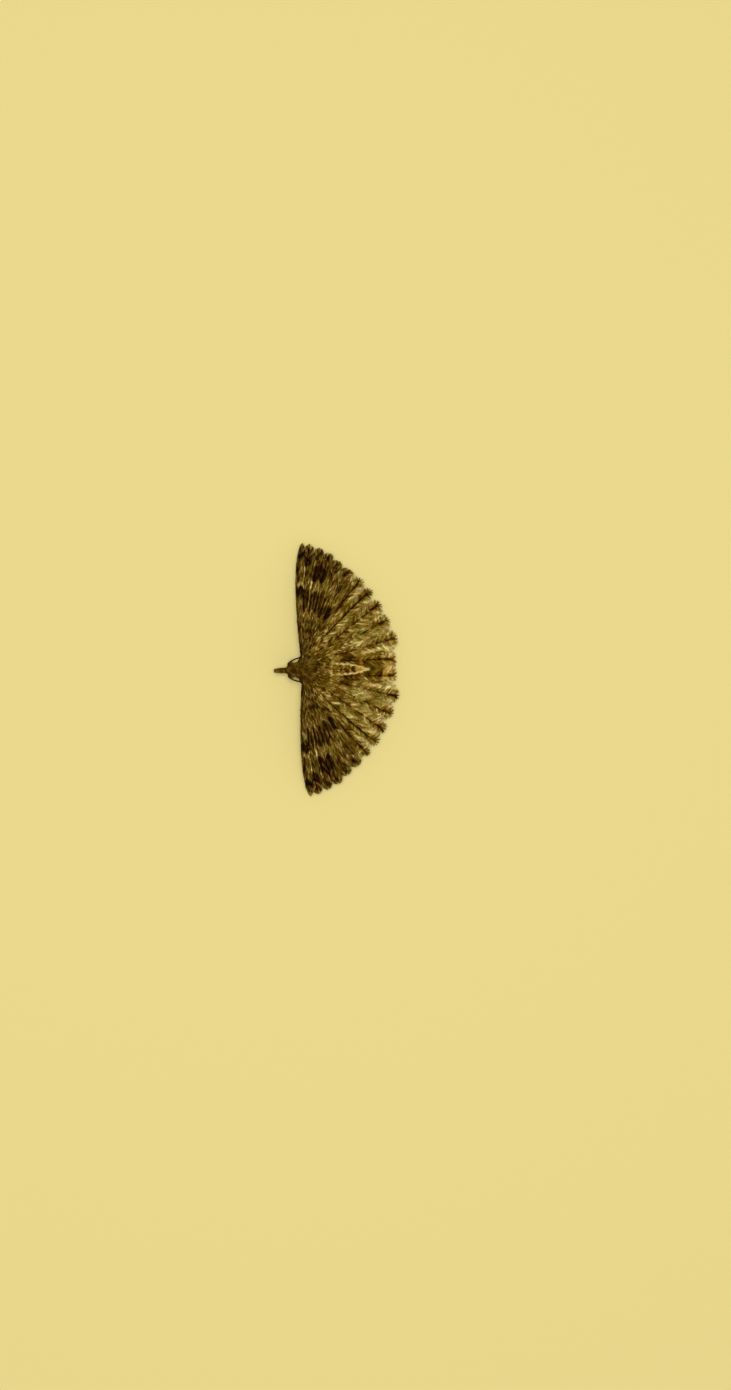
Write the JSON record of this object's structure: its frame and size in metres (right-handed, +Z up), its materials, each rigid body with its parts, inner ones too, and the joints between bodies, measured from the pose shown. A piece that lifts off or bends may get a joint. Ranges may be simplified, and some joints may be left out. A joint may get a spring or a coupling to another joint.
{
  "type": "twenty-plume moth",
  "caption": "Life-size small moth at rest, its wings spread flat in a half disc and each divided into feathery plumes, standing on six feet.",
  "frame": {"origin": "under the middle of the whole moth, on the surface that its feet stand on", "axes": "+Z up, away from the surface; the head points to -Y; +X is the moth's own left, along the wingspan"},
  "size_m": [0.015, 0.0074, 0.0015],
  "materials": {
    "body_scales": "dense brown and olive body scales with pale ochre tips, matt with a faint silky sheen",
    "wing_plumes": "feathered plumes of fine scales and bristles, olive brown and ochre with dark brown bands and cream streaks, matt",
    "limb_scales": "fine close scales over legs and feelers, brown, ringed with pale ochre",
    "eye": "dark brown compound eye, glossy, finely faceted"
  },
  "bodies": {
    "root": {"head": "body_scales", "thorax": "body_scales", "abdomen": "body_scales", "eye_left": "eye", "palp_left": "body_scales", "antenna_left": "limb_scales", "leg_front_left": "limb_scales", "leg_middle_left": "limb_scales", "leg_hind_left": "limb_scales", "forewing_left": "wing_plumes", "hindwing_left": "wing_plumes", "eye_right": "eye", "palp_right": "body_scales", "antenna_right": "limb_scales", "leg_front_right": "limb_scales", "leg_middle_right": "limb_scales", "leg_hind_right": "limb_scales", "forewing_right": "wing_plumes", "hindwing_right": "wing_plumes"}
  },
  "joints": []
}
